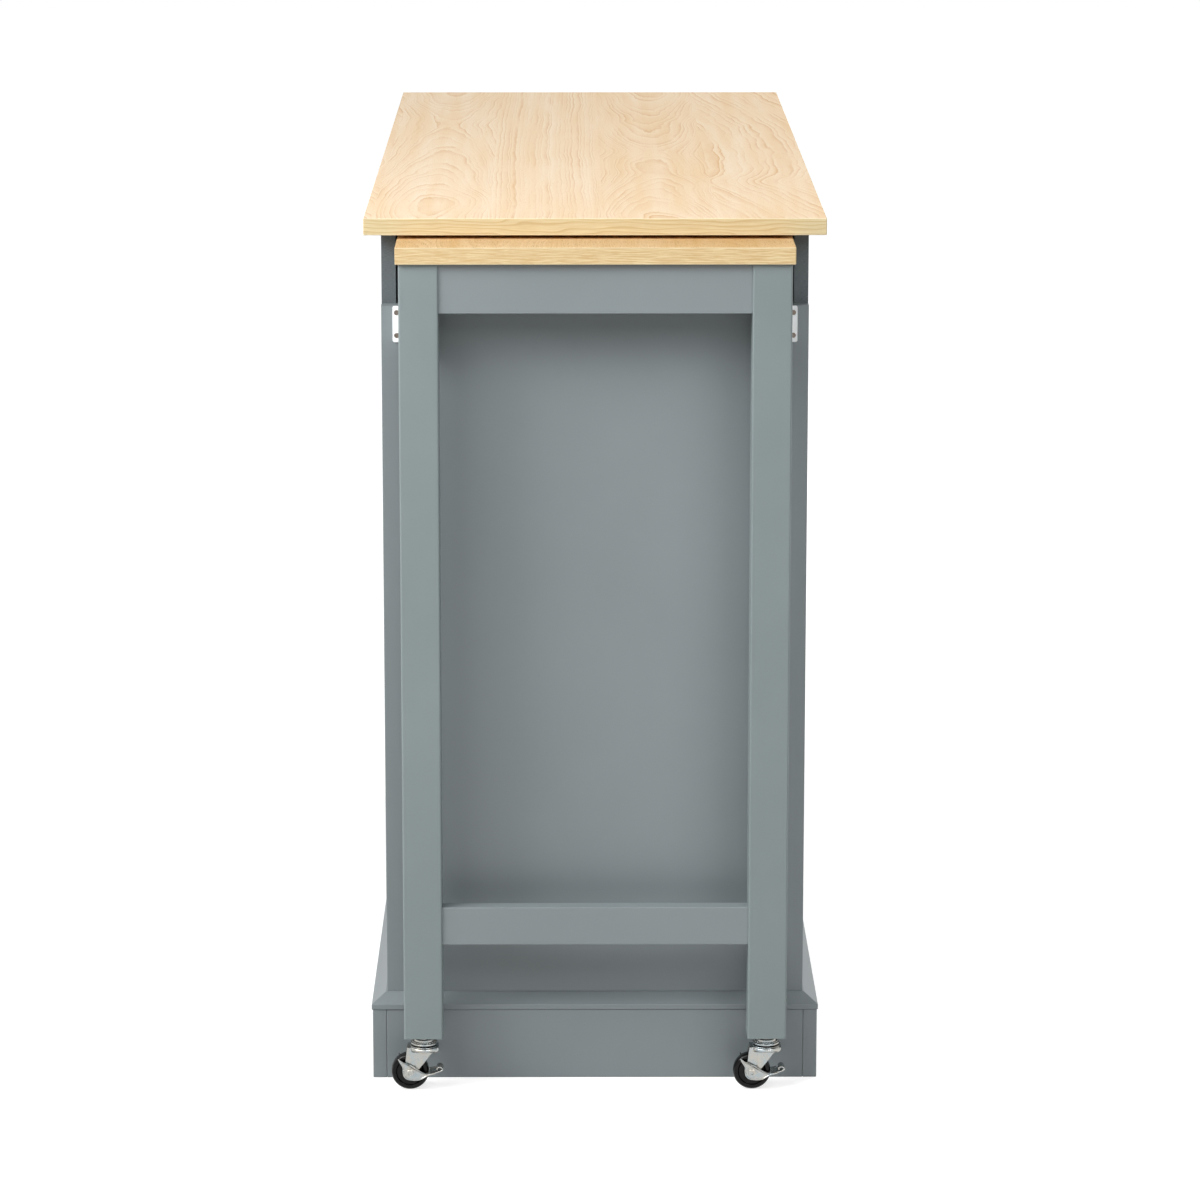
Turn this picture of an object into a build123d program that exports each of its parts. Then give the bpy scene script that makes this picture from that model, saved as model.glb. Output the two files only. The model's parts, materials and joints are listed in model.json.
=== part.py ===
from build123d import *
import os

# Kitchen island with a pull-out table stowed in a slot under the worktop, in millimetres.
# X runs along the island with the table end at +X, doors and drawers face -Y, Z is up.
# The origin is on the floor under the middle of the plinth.

# Overall sizes
island_length = 1200
island_width = 480
island_height = 930
worktop_thickness = 18
worktop_overhang = 17
edge_round = 1
gap_round = 0.6

# Painted boards of the body
board = 15
slot_height = 76
shelf_bay_width = 330
drawer_bay_height = 130
cabinet_shelf_rise = 270
shelf_side_gap = 1
shelf_back_gap = 1
cabinet_shelf_setback = 30

# Plinth and the sloped moulding on it
plinth_height = 76
plinth_board = 15
moulding_height = 16
moulding_edge = 6
moulding_lip = 1
moulding_top_flat = 1.5

# Shelf pins
pin_radius = 2.5
pin_hole_gap = 0.05
pin_in_board = 7
pin_out_of_board = 9
pin_inset = 45

# Pull-out table
table_travel = 800
table_side_gap = 2.5
table_top_thickness = 18
table_top_lip = 3
table_nose = 5.5
slot_top_gap = 4
leg_size = 41
leg_round = 2
rail_thickness = 18
rail_recess = 3
stretcher_bottom = 164
stretcher_height = 41
side_rail_inset = 4.5
rear_rail_inset = 8
glide_strip_width = 22
glide_strip_thickness = 1.7
sliding_gap = 0.3
stop_mouth_gap = 1.7
stop_length = 30
stop_width = 40
stop_height = 20
stop_spacing = 240

# Magnetic catches that hold the stowed table
catch_height = 38
catch_past_leg = 8.5
catch_flange_thickness = 3
catch_flange_width = 24
catch_block_width = 15
catch_air_gap = 0.4
catch_round = 2
strike_thickness = 1
strike_height = 30
strike_width = 13
magnet_height = 26
magnet_width = 9
magnet_depth = 6
catch_screw_inset = 4.3
catch_screw_spacing = 24
catch_screw_head_radius = 2.6
catch_screw_head_height = 1.2
catch_screw_sink = 1.4
catch_screw_rim_gap = 0.2
catch_screw_radius = 1.6
catch_screw_length = 12
screw_cross_length = 3.4
screw_cross_width = 0.8
screw_cross_depth = 0.7

# Casters under the legs
wheel_swing_gap = 1
trail = 15
wheel_radius = 20
wheel_width = 14
wheel_shoulder = 3
wheel_rim = 4
wheel_dish = 1.5
hub_radius = 8
hub_side_gap = 0.4
wheel_lift = 0.3
axle_radius = 3
running_gap = 0.05
axle_head_radius = 4.6
axle_head_height = 2
fork_plate = 1.8
fork_gap = 0.8
fork_boss_radius = 6.5
fork_wheel_gap = 6.2
fork_crown_thickness = 3
fork_crown_radius = 16.3
fork_plate_front = 11
fork_plate_back = 18
lever_plate = 1.5
lever_gap = 0.4
lever_boss_radius = 7.5
lever_arm_radius = 3
lever_ear_radius = 1.8
lever_ear_back = 10.5
lever_ear_rise = 14
pedal_wheel_gap = 1
pedal_length = 11
pedal_rise = 2.5
curl_radius = 3
race_gap = 0.7
race_radius = 14.3
race_height = 2.4
cap_radius = 11
cap_height = 4
neck_radius = 9
neck_height = 4.4
stem_radius = 4
stem_length = 30
stem_hole_depth = 32
turned_chamfer = 1
rivet_radius = 6.5
rivet_height = 2.4

# Doors
door_gap = 2.5
door_frame_width = 60
door_panel_thickness = 6
door_panel_setback = 6
door_groove_depth = 9
door_groove_gap = 0.2
knob_top_drop = 85

# Hinges with an open knuckle on the face
hinge_height = 50
hinge_end_distance = 80
hinge_leaf = 1
hinge_leaf_depth = 14
knuckle_radius = 3
knuckle_face_gap = 0.5
hinge_pin_radius = 1.5
knuckle_gap = 0.3
pin_head_radius = 2.4
pin_head_height = 1.2
door_catch_length = 44
door_catch_depth = 14
door_catch_height = 12

# Drawers
drawer_board = 12
drawer_box_height = 90
drawer_back_space = 36
drawer_box_lift = 12
drawer_bottom_thickness = 5
drawer_bottom_lift = 4
drawer_groove_depth = 5
drawer_fit = 0.2
drawer_border = 32
drawer_pocket = 4
runner_space = 12.5
runner_sheet = 1.2
runner_height = 26
runner_flange = 7.8
runner_setback = 8
roller_radius = 6
roller_width = 6.5
roller_side_gap = 0.3
slide_flange = 8.3
roller_end_distance = 12

# Knobs
knob_foot_radius = 7
knob_neck_radius = 5
knob_head_radius = 14
knob_foot_height = 3
knob_foot_bevel = 1
knob_neck_height = 11
knob_flare = 2
knob_projection = 22
knob_round = 3

# Positions that follow from the sizes
half_length = island_length / 2
half_width = island_width / 2
top_underside = island_height - worktop_thickness
body_x = half_length - worktop_overhang
body_y = half_width - worktop_overhang
inner_x = body_x - board
inner_y = body_y - board
slot_floor = top_underside - slot_height
deck_underside = slot_floor - board
floor_underside = plinth_height + moulding_height
floor_top = floor_underside + board
drawer_floor = deck_underside - drawer_bay_height
door_top = drawer_floor - board
bay_x = inner_x - shelf_bay_width
cabinet_x = bay_x - board
cabinet_middle = (cabinet_x - inner_x) / 2
plinth_x = body_x + plinth_board
plinth_y = body_y + plinth_board

swivel_x = plinth_x + trail + wheel_radius + wheel_swing_gap
leg_front_x = swivel_x + leg_size / 2
leg_back_x = swivel_x - leg_size / 2
table_front = leg_front_x + table_nose
stop_x = inner_x - stop_mouth_gap - stop_length
rear_rail_x = stop_x - sliding_gap - table_travel - rail_thickness
table_back = rear_rail_x - rear_rail_inset
table_top = top_underside - slot_top_gap
table_underside = table_top - table_top_thickness
rail_bottom = slot_floor + glide_strip_thickness + sliding_gap
rail_height = table_underside - rail_bottom
table_half_width = inner_y - table_side_gap
leg_outer_y = table_half_width - table_top_lip
leg_inner_y = leg_outer_y - leg_size
swivel_y = leg_outer_y - leg_size / 2
side_rail_y = leg_outer_y - side_rail_inset

axle_z = wheel_lift + wheel_radius
plate_inner = wheel_width / 2 + hub_side_gap + fork_gap
plate_outer = plate_inner + fork_plate
lever_inner = plate_outer + lever_gap
lever_outer = lever_inner + lever_plate
crown_bottom = axle_z + wheel_radius + fork_wheel_gap
fork_top = crown_bottom + fork_crown_thickness
race_bottom = fork_top + race_gap
race_top = race_bottom + race_height
cap_top = race_top + cap_height
leg_foot_height = cap_top + neck_height

face_y = -body_y
door_width = (cabinet_x + inner_x - 3 * door_gap) / 2
door_bottom_z = floor_top + door_gap
door_top_z = door_top - door_gap
door_back_y = face_y + board
hinge_pin_y = face_y - knuckle_radius - knuckle_face_gap
hinge_heights = (floor_top + hinge_end_distance, door_top - hinge_end_distance)

drawer_bays = {
    "left": (-inner_x, cabinet_middle - board / 2),
    "right": (cabinet_middle + board / 2, cabinet_x),
}
drawer_box_z = drawer_floor + drawer_box_lift
drawer_middle_z = (drawer_floor + deck_underside) / 2
drawer_box_back = inner_y - drawer_back_space


def block(x, y, z):
    """A box from its low and high value along each axis."""
    size = (x[1] - x[0], y[1] - y[0], z[1] - z[0])
    middle = ((x[0] + x[1]) / 2, (y[0] + y[1]) / 2, (z[0] + z[1]) / 2)
    return Pos(*middle) * Box(*size)


def both(low, high):
    """The same span on the -Y side and on the +Y side."""
    return ((-high, -low), (low, high))


def softened(shape, axis, radius):
    """A board with its edges along one axis rounded."""
    return fillet(shape.edges().filter_by(axis), radius)


def faced(shape, side=0):
    """A board with the edges round its -Y face rounded, or round its +Y face where side is -1."""
    return fillet(shape.faces().sort_by(Axis.Y)[side].edges(), gap_round)


def rod(start, radius, length, axis):
    """A round bar from a start point along +X, -Y or +Z."""
    plane = Plane(origin=start, z_dir=axis)
    return extrude(plane * Circle(radius), length)


def save(node, *pieces):
    """Write one node as a STEP file that holds all of its separate solids."""
    solids = [solid for piece in pieces for solid in piece.solids()]
    shape = solids[0] if len(solids) == 1 else Compound(children=solids)
    export_step(shape, f"parts/{node}.step")


# Worktop and body

def worktop():
    slab = block(
        (-half_length, half_length), (-half_width, half_width), (top_underside, island_height)
    )
    return fillet(slab.edges(), edge_round)


def body_boards():
    """Upright and level boards of the body, by node name."""
    full_y = (-body_y, body_y)
    inner_depth = (-body_y, inner_y)
    return {
        "back_panel": faced(
            block((-inner_x, inner_x), (inner_y, body_y), (0, top_underside)), side=-1
        ),
        "table_end_panel": softened(
            block((inner_x, body_x), full_y, (0, slot_floor)), Axis.Z, edge_round
        ),
        "far_end_panel": softened(
            block((-body_x, -inner_x), full_y, (0, top_underside)), Axis.Z, edge_round
        ),
        "front_top_rail": faced(
            block((-inner_x, inner_x), (-body_y, -inner_y), (deck_underside, top_underside))
        ),
        "toe_board": block((-inner_x, inner_x), (-body_y, -inner_y), (0, floor_underside)),
        "table_deck": block(
            (-inner_x, inner_x), (-inner_y, inner_y), (deck_underside, slot_floor)
        ),
        "drawer_deck": faced(
            block((-inner_x, cabinet_x), inner_depth, (door_top, drawer_floor))
        ),
        "cabinet_floor": faced(
            block((-inner_x, inner_x), inner_depth, (floor_underside, floor_top))
        ),
        "drawer_divider": faced(
            block(
                (cabinet_middle - board / 2, cabinet_middle + board / 2),
                inner_depth,
                (drawer_floor, deck_underside),
            )
        ),
    }


def pin_places():
    """Underside height, low and high wall and front edge of each shelf that rests on pins."""
    bay_height = deck_underside - floor_top
    third = (bay_height - 2 * board) / 3
    shelves = {
        "lower_open_shelf": (floor_top + third, bay_x, inner_x, -body_y),
        "upper_open_shelf": (floor_top + 2 * third + board, bay_x, inner_x, -body_y),
        "cabinet_shelf": (
            floor_top + cabinet_shelf_rise,
            -inner_x,
            cabinet_x,
            -body_y + cabinet_shelf_setback,
        ),
    }
    return shelves


def shelf(place):
    underside, low_wall, high_wall, front = place
    return softened(
        block(
            (low_wall + shelf_side_gap, high_wall - shelf_side_gap),
            (front + gap_round, inner_y - shelf_back_gap),
            (underside, underside + board),
        ),
        Axis.X,
        gap_round,
    )


def pins(place, radius):
    """Four pins, two in each side wall, under one shelf."""
    underside, low_wall, high_wall, front = place
    length = pin_in_board + pin_out_of_board
    rows = (front + pin_inset, inner_y - pin_inset)
    starts = (low_wall - pin_in_board, high_wall - pin_out_of_board)
    return [
        rod((x, y, underside - pin_radius - pin_hole_gap), radius, length, (1, 0, 0))
        for x in starts
        for y in rows
    ]


def bored(board_solid, places):
    """A side board with the holes for the shelf pins that reach into it."""
    for place in places:
        for hole in pins(place, pin_radius + pin_hole_gap):
            board_solid = board_solid - hole
    return board_solid


def plinth_and_moulding():
    """Plinth boards round the body, with the mitred moulding that hides their top edge."""
    height = (0, plinth_height)
    sides = [block((-plinth_x, plinth_x), y, height) for y in both(body_y, plinth_y)]
    ends = [block(x, (-body_y, body_y), height) for x in both(body_x, plinth_x)]
    brace = block((-board / 2, board / 2), (-inner_y, inner_y), (0, floor_underside))
    save("plinth_side_boards", *[fillet(side.edges(), edge_round) for side in sides])
    save("plinth_end_boards", *[fillet(end.edges(), edge_round) for end in ends])
    save("plinth_brace", brace)
    save("side_mouldings", *[moulding(body_x, body_y, turn) for turn in (0, 180)])
    save("end_mouldings", *[moulding(body_y, body_x, turn) for turn in (90, 270)])


def moulding(half_run, distance, turn):
    """One side of the moulding: a sloped profile cut to 45 degree mitres at both ends."""
    width = plinth_board + moulding_lip
    run = half_run + width
    outline = Polyline(
        (distance, 0),
        (distance + width, 0),
        (distance + width, moulding_edge),
        (distance + moulding_top_flat, moulding_height),
        (distance, moulding_height),
        close=True,
    )
    profile = Plane(origin=(-run, 0, plinth_height), x_dir=(0, 1, 0), z_dir=(1, 0, 0))
    strip = extrude(profile * make_face(outline), 2 * run)
    outer_edges = strip.edges().filter_by(Axis.X).sort_by(Axis.Y)[-2:]
    strip = fillet(outer_edges, edge_round)
    mitres = Polyline(
        (-half_run, distance),
        (half_run, distance),
        (run, distance + width),
        (-run, distance + width),
        close=True,
    )
    plan = extrude(Plane.XY.offset(plinth_height) * make_face(mitres), moulding_height)
    return Rot(0, 0, turn) * (strip & plan)


# Pull-out table

def extension_top():
    slab = block(
        (table_back, table_front),
        (-table_half_width, table_half_width),
        (table_underside, table_top),
    )
    return fillet(slab.edges(), edge_round)


def leg(side):
    """A square leg with a round hole up its foot for the caster's stem."""
    low, high = sorted((side * leg_inner_y, side * leg_outer_y))
    post = softened(
        block((leg_back_x, leg_front_x), (low, high), (leg_foot_height, table_underside)),
        Axis.Z,
        leg_round,
    )
    hole = rod(
        (swivel_x, side * swivel_y, leg_foot_height),
        stem_radius + running_gap,
        stem_hole_depth,
        (0, 0, 1),
    )
    return post - hole


def cross_rail(bottom, height):
    """A rail between the two legs, set back a little from their faces."""
    front = leg_front_x - rail_recess
    return softened(
        block((front - rail_thickness, front), (-leg_inner_y, leg_inner_y), (bottom, bottom + height)),
        Axis.Y,
        edge_round,
    )


def side_rails():
    """Long rails that carry the extension top and slide on the strips in the slot."""
    return [
        softened(
            block((rear_rail_x, leg_back_x), y, (rail_bottom, table_underside)), Axis.X, gap_round
        )
        for y in both(side_rail_y - rail_thickness, side_rail_y)
    ]


def rear_rail():
    inner = side_rail_y - rail_thickness
    return block(
        (rear_rail_x, rear_rail_x + rail_thickness), (-inner, inner), (rail_bottom, table_underside)
    )


def glide_strips():
    """Plastic strips on the slot floor under the side rails, out to the end panel's face."""
    middle = side_rail_y - rail_thickness / 2
    half = glide_strip_width / 2
    return [
        block((-inner_x, body_x), y, (slot_floor, slot_floor + glide_strip_thickness))
        for y in both(middle - half, middle + half)
    ]


def pull_out_stops():
    """Blocks near the mouth of the slot that the rear rail meets at full reach."""
    return [
        block((stop_x, stop_x + stop_length), y, (slot_floor, slot_floor + stop_height))
        for y in both((stop_spacing - stop_width) / 2, (stop_spacing + stop_width) / 2)
    ]


# Magnetic catches

catch_low = slot_floor - catch_height
catch_outer = leg_outer_y + catch_past_leg
catch_inner = catch_outer - catch_flange_width
catch_face = leg_back_x - strike_thickness - catch_air_gap
catch_middle_z = slot_floor - catch_height / 2
block_middle_y = catch_inner + catch_block_width / 2
catch_screw_seat = body_x + catch_flange_thickness - catch_screw_sink


def catch_housing(side):
    """A flange on the end panel with a deep block behind the leg that holds the magnet."""
    flange_y = sorted((side * catch_inner, side * catch_outer))
    block_y = sorted((side * catch_inner, side * (catch_inner + catch_block_width)))
    flange = block((body_x, body_x + catch_flange_thickness), flange_y, (catch_low, slot_floor))
    housing = block((body_x, catch_face), block_y, (catch_low, slot_floor))
    solid = softened(flange + housing, Axis.X, catch_round)
    for z in catch_screw_heights():
        y = side * (catch_outer - catch_screw_inset)
        rim = catch_screw_head_radius + catch_screw_rim_gap
        hole = rod((body_x, y, z), catch_screw_radius, catch_flange_thickness, (1, 0, 0))
        sink = rod((catch_screw_seat, y, z), rim, catch_screw_sink, (1, 0, 0))
        solid = solid - hole - sink
    return solid - magnet(side)


def catch_screw_heights():
    return [catch_middle_z - catch_screw_spacing / 2, catch_middle_z + catch_screw_spacing / 2]


def magnet(side):
    middle = side * block_middle_y
    return block(
        (catch_face - magnet_depth, catch_face),
        (middle - magnet_width / 2, middle + magnet_width / 2),
        (catch_middle_z - magnet_height / 2, catch_middle_z + magnet_height / 2),
    )


def catch_screw(side, z):
    """A screw with a cross recess, its head sunk in the flange, driven into the end panel."""
    y = side * (catch_outer - catch_screw_inset)
    top = catch_screw_seat + catch_screw_head_height
    shank = rod((top - catch_screw_length, y, z), catch_screw_radius, catch_screw_length, (1, 0, 0))
    head = rod(
        (catch_screw_seat, y, z), catch_screw_head_radius, catch_screw_head_height, (1, 0, 0)
    )
    depth = (top - screw_cross_depth, top)
    long = (-screw_cross_length / 2, screw_cross_length / 2)
    short = (-screw_cross_width / 2, screw_cross_width / 2)
    cross = block(depth, long, short) + block(depth, short, long)
    return shank + head - Pos(0, y, z) * cross


def screw_holes(panel):
    """The end panel with the pilot holes of the catch screws."""
    depth = catch_screw_length - catch_screw_head_height - catch_flange_thickness + catch_screw_sink
    for side in (-1, 1):
        for z in catch_screw_heights():
            start = (body_x - depth, side * (catch_outer - catch_screw_inset), z)
            panel = panel - rod(start, catch_screw_radius, depth, (1, 0, 0))
    return panel


def strike_plate(side):
    middle = side * block_middle_y
    return block(
        (leg_back_x - strike_thickness, leg_back_x),
        (middle - strike_width / 2, middle + strike_width / 2),
        (catch_middle_z - strike_height / 2, catch_middle_z + strike_height / 2),
    )


# Casters, drawn about their own swivel axis and then placed under a leg

def at_leg(side, shape):
    return Pos(swivel_x, side * swivel_y, 0) * shape


def turned(points):
    """A solid of revolution about the vertical axis from points of radius and height."""
    outline = make_face(Polyline(*points, close=True))
    return revolve(Plane.XZ * outline, Axis.Z)


def caster_mount():
    """Stem, neck, cap and upper race in one turned piece, with the rivet head under the fork."""
    rivet_top = crown_bottom - race_gap
    return turned(
        [
            (0, rivet_top - rivet_height),
            (rivet_radius - turned_chamfer, rivet_top - rivet_height),
            (rivet_radius, rivet_top - turned_chamfer),
            (rivet_radius, rivet_top),
            (stem_radius, rivet_top),
            (stem_radius, race_bottom),
            (race_radius, race_bottom),
            (race_radius, race_top),
            (cap_radius, cap_top),
            (neck_radius, cap_top),
            (neck_radius, leg_foot_height),
            (stem_radius, leg_foot_height),
            (stem_radius, leg_foot_height + stem_length - turned_chamfer),
            (stem_radius - turned_chamfer, leg_foot_height + stem_length),
            (0, leg_foot_height + stem_length),
        ]
    )


def plate_pair(outline, inner, outer):
    """The same outline in the YZ plane as two plates, one on each side of the wheel."""
    right = extrude(Plane.YZ.offset(inner) * outline, outer - inner)
    left = extrude(Plane.YZ.offset(-outer) * outline, outer - inner)
    return right + left


def axle_cut(radius):
    return rod((-wheel_radius, -trail, axle_z), radius, 2 * wheel_radius, (1, 0, 0))


def fork():
    """A round crown with two plates that taper down to the axle, trailing to -Y."""
    top_edge = Line((-fork_plate_back, crown_bottom), (fork_plate_front, crown_bottom))
    boss = Pos(-trail, axle_z) * CenterArc((0, 0), fork_boss_radius, 0, 360)
    sides = plate_pair(make_hull([top_edge, boss]), plate_inner, plate_outer)
    crown = Pos(0, 0, crown_bottom) * extrude(Circle(fork_crown_radius), fork_crown_thickness)
    bridge = block(
        (-plate_outer, plate_outer), (-fork_plate_back, 0), (crown_bottom, fork_top)
    )
    bore = rod((0, 0, crown_bottom), stem_radius + running_gap, fork_crown_thickness, (0, 0, 1))
    return sides + crown + bridge - bore - axle_cut(axle_radius + running_gap)


def axle():
    """A riveted axle with a domed head outside each lever plate."""
    head_start = lever_outer + lever_gap
    shaft = rod((-head_start, -trail, axle_z), axle_radius, 2 * head_start, (1, 0, 0))
    heads = []
    for side in (-1, 1):
        x = head_start if side > 0 else -head_start - axle_head_height
        head = rod((x, -trail, axle_z), axle_head_radius, axle_head_height, (1, 0, 0))
        rims = head.edges().filter_by(GeomType.CIRCLE).sort_by(Axis.X)
        heads.append(fillet(rims[-1] if side > 0 else rims[0], axle_head_height / 2))
    return shaft + heads[0] + heads[1]


def wheel():
    """A wheel with rounded shoulders, a dished web and a hub, turned about the axle."""
    half = wheel_width / 2
    web = half - wheel_dish
    hub_half = half + hub_side_gap
    hub_bore = axle_radius + running_gap
    rim_inner = wheel_radius - wheel_rim
    right = [
        (hub_half, hub_bore),
        (hub_half, hub_radius),
        (web, hub_radius),
        (web, rim_inner),
        (half, rim_inner),
        (half, wheel_radius),
    ]
    left = [(-x, radius) for x, radius in reversed(right)]
    outline = make_face(Polyline(*right, *left, close=True))
    tread = outline.vertices().filter_by_position(Axis.Y, wheel_radius, wheel_radius)
    solid = revolve(fillet(tread, wheel_shoulder), Axis.X)
    return Pos(0, -trail, axle_z) * solid


def brake_lever():
    """Two cheeks outside the fork, joined past the wheel by a pedal with a rolled end."""
    pedal_y = wheel_radius - trail + pedal_wheel_gap
    curl_y = pedal_y + pedal_length
    pedal_z = axle_z + pedal_rise
    boss = Pos(-trail, axle_z) * CenterArc((0, 0), lever_boss_radius, 0, 360)
    ear = Pos(-trail - lever_ear_back, axle_z + lever_ear_rise) * CenterArc(
        (0, 0), lever_ear_radius, 0, 360
    )
    arm = Pos(pedal_y, pedal_z - lever_arm_radius + lever_plate) * CenterArc(
        (0, 0), lever_arm_radius, 0, 360
    )
    cheek = make_hull([boss, ear]) + make_hull([boss, arm])
    sides = plate_pair(cheek, lever_inner, lever_outer)
    pedal = block(
        (-lever_outer, lever_outer), (pedal_y, curl_y), (pedal_z, pedal_z + lever_plate)
    )
    curl_outline = Pos(curl_y, pedal_z + curl_radius) * (
        Circle(curl_radius) - Circle(curl_radius - lever_plate)
    )
    curl = extrude(Plane.YZ.offset(-lever_outer) * curl_outline, 2 * lever_outer)
    return sides + pedal + curl - axle_cut(axle_radius + running_gap)


# Knobs, hinges, doors

def knob(x, seat_y, z):
    """A mushroom knob turned about a line square to the face that it is screwed to."""
    outline = make_face(
        Polyline(
            (0, 0),
            (knob_foot_radius, 0),
            (knob_foot_radius, knob_foot_height),
            (knob_neck_radius, knob_foot_height + knob_foot_bevel),
            (knob_neck_radius, knob_neck_height),
            (knob_head_radius, knob_neck_height + knob_flare),
            (knob_head_radius, knob_projection),
            (0, knob_projection),
            close=True,
        )
    )
    rim = outline.vertices().filter_by_position(Axis.X, knob_head_radius, knob_head_radius)
    solid = revolve(Plane.XZ * fillet(rim, knob_round), Axis.Z)
    return Pos(x, seat_y, z) * Rot(90, 0, 0) * solid


def hinge_knuckles(wall_x, toward, on_door):
    """The leaves of one door's hinges. toward is +1 where the door lies on the +X side."""
    pin_x = wall_x + toward * door_gap / 2
    third = hinge_height / 3
    pieces = []
    for middle in hinge_heights:
        low = middle - hinge_height / 2
        if on_door:
            leaf_x = sorted((wall_x + toward * (door_gap - hinge_leaf), wall_x + toward * door_gap))
            knuckles = [(low + third + knuckle_gap / 2, low + 2 * third - knuckle_gap / 2)]
        else:
            leaf_x = sorted((wall_x, wall_x + toward * hinge_leaf))
            knuckles = [
                (low, low + third - knuckle_gap / 2),
                (low + 2 * third + knuckle_gap / 2, low + hinge_height),
            ]
        back = face_y + hinge_leaf_depth
        front = hinge_pin_y + knuckle_radius + knuckle_gap
        leaf = block(leaf_x, (front, back), (low, low + hinge_height))
        for start, end in knuckles:
            leaf = leaf + block(leaf_x, (hinge_pin_y, back), (start, end))
            barrel = rod((pin_x, hinge_pin_y, start), knuckle_radius, end - start, (0, 0, 1))
            leaf = leaf + barrel
        hole = rod(
            (pin_x, hinge_pin_y, low), hinge_pin_radius + running_gap, hinge_height, (0, 0, 1)
        )
        pieces.append(leaf - hole)
    return pieces


def hinge_pins(wall_x, toward):
    """A headed pin down through the knuckles of each hinge."""
    pin_x = wall_x + toward * door_gap / 2
    pieces = []
    for middle in hinge_heights:
        low = middle - hinge_height / 2
        top = low + hinge_height
        shaft = rod((pin_x, hinge_pin_y, low), hinge_pin_radius, hinge_height, (0, 0, 1))
        head = rod((pin_x, hinge_pin_y, top), pin_head_radius, pin_head_height, (0, 0, 1))
        pieces.append(shaft + head)
    return pieces


def door(x_low):
    """Frame members and the thin panel held in their grooves."""
    x_high = x_low + door_width
    thickness = (face_y, door_back_y)
    inner_low = x_low + door_frame_width
    inner_high = x_high - door_frame_width
    rail_bottom_top = door_bottom_z + door_frame_width
    rail_top_bottom = door_top_z - door_frame_width
    panel_y = (
        face_y + door_panel_setback,
        face_y + door_panel_setback + door_panel_thickness,
    )
    groove = block(
        (inner_low - door_groove_depth, inner_high + door_groove_depth),
        (panel_y[0] - door_groove_gap, panel_y[1] + door_groove_gap),
        (rail_bottom_top - door_groove_depth, rail_top_bottom + door_groove_depth),
    )
    stiles = [
        block((x_low, inner_low), thickness, (door_bottom_z, door_top_z)),
        block((inner_high, x_high), thickness, (door_bottom_z, door_top_z)),
    ]
    rails = [
        block((inner_low, inner_high), thickness, (door_bottom_z, rail_bottom_top)),
        block((inner_low, inner_high), thickness, (rail_top_bottom, door_top_z)),
    ]
    members = [faced(member) - groove for member in stiles + rails]
    reach = door_groove_depth - door_groove_gap
    panel = block(
        (inner_low - reach, inner_high + reach),
        panel_y,
        (rail_bottom_top - reach, rail_top_bottom + reach),
    )
    return members, panel


def door_catch():
    """A twin magnetic catch under the drawer deck that both doors close against."""
    return block(
        (cabinet_middle - door_catch_length / 2, cabinet_middle + door_catch_length / 2),
        (door_back_y + sliding_gap, door_back_y + sliding_gap + door_catch_depth),
        (door_top - door_catch_height, door_top),
    )


# Drawers

def drawer_front(bay):
    front = block(
        (bay[0] + door_gap, bay[1] - door_gap),
        (face_y, door_back_y),
        (drawer_floor + door_gap, deck_underside - door_gap),
    )
    pocket = block(
        (bay[0] + door_gap + drawer_border, bay[1] - door_gap - drawer_border),
        (face_y, face_y + drawer_pocket),
        (drawer_floor + door_gap + drawer_border, deck_underside - door_gap - drawer_border),
    )
    return faced(front - pocket)


def drawer_box(bay):
    """Two sides, a back and a thin bottom let into grooves in the sides."""
    outer = (bay[0] + runner_space, bay[1] - runner_space)
    inner = (outer[0] + drawer_board, outer[1] - drawer_board)
    length = (door_back_y, drawer_box_back)
    height = (drawer_box_z, drawer_box_z + drawer_box_height)
    bottom_z = (
        drawer_box_z + drawer_bottom_lift,
        drawer_box_z + drawer_bottom_lift + drawer_bottom_thickness,
    )
    back_y = length[1] - drawer_board
    groove = block(
        (inner[0] - drawer_groove_depth, inner[1] + drawer_groove_depth),
        (length[0], back_y),
        (bottom_z[0] - drawer_fit, bottom_z[1] + drawer_fit),
    )
    reach = drawer_groove_depth - drawer_fit
    sides = [
        block((outer[0], inner[0]), length, height) - groove,
        block((inner[1], outer[1]), length, height) - groove,
    ]
    back = block(inner, (back_y, length[1]), height)
    bottom = block((inner[0] - reach, inner[1] + reach), (length[0], back_y), bottom_z)
    return sides + [back, bottom]


def roller(x_low, x_high, y, z):
    return rod((x_low, y, z), roller_radius, x_high - x_low, (1, 0, 0))


def fixed_runner(wall_x, toward):
    """A sheet channel on the bay wall with a roller at its mouth."""
    def span(start, end):
        return sorted((wall_x + toward * start, wall_x + toward * end))

    length = (door_back_y + runner_setback, drawer_box_back)
    foot = drawer_box_z
    web = block(span(0, runner_sheet), length, (foot, foot + runner_height))
    flange = block(
        span(0, runner_sheet + runner_flange), length, (foot, foot + runner_sheet)
    )
    roller_z = foot + runner_sheet + sliding_gap + roller_radius
    wheel_x = span(runner_sheet + roller_side_gap, runner_sheet + roller_side_gap + roller_width)
    stud = rod(
        (min(span(0, runner_sheet + roller_side_gap)), length[0] + roller_end_distance, roller_z),
        roller_radius / 3,
        runner_sheet + roller_side_gap,
        (1, 0, 0),
    )
    return [web + flange + stud, roller(*wheel_x, length[0] + roller_end_distance, roller_z)]


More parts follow.
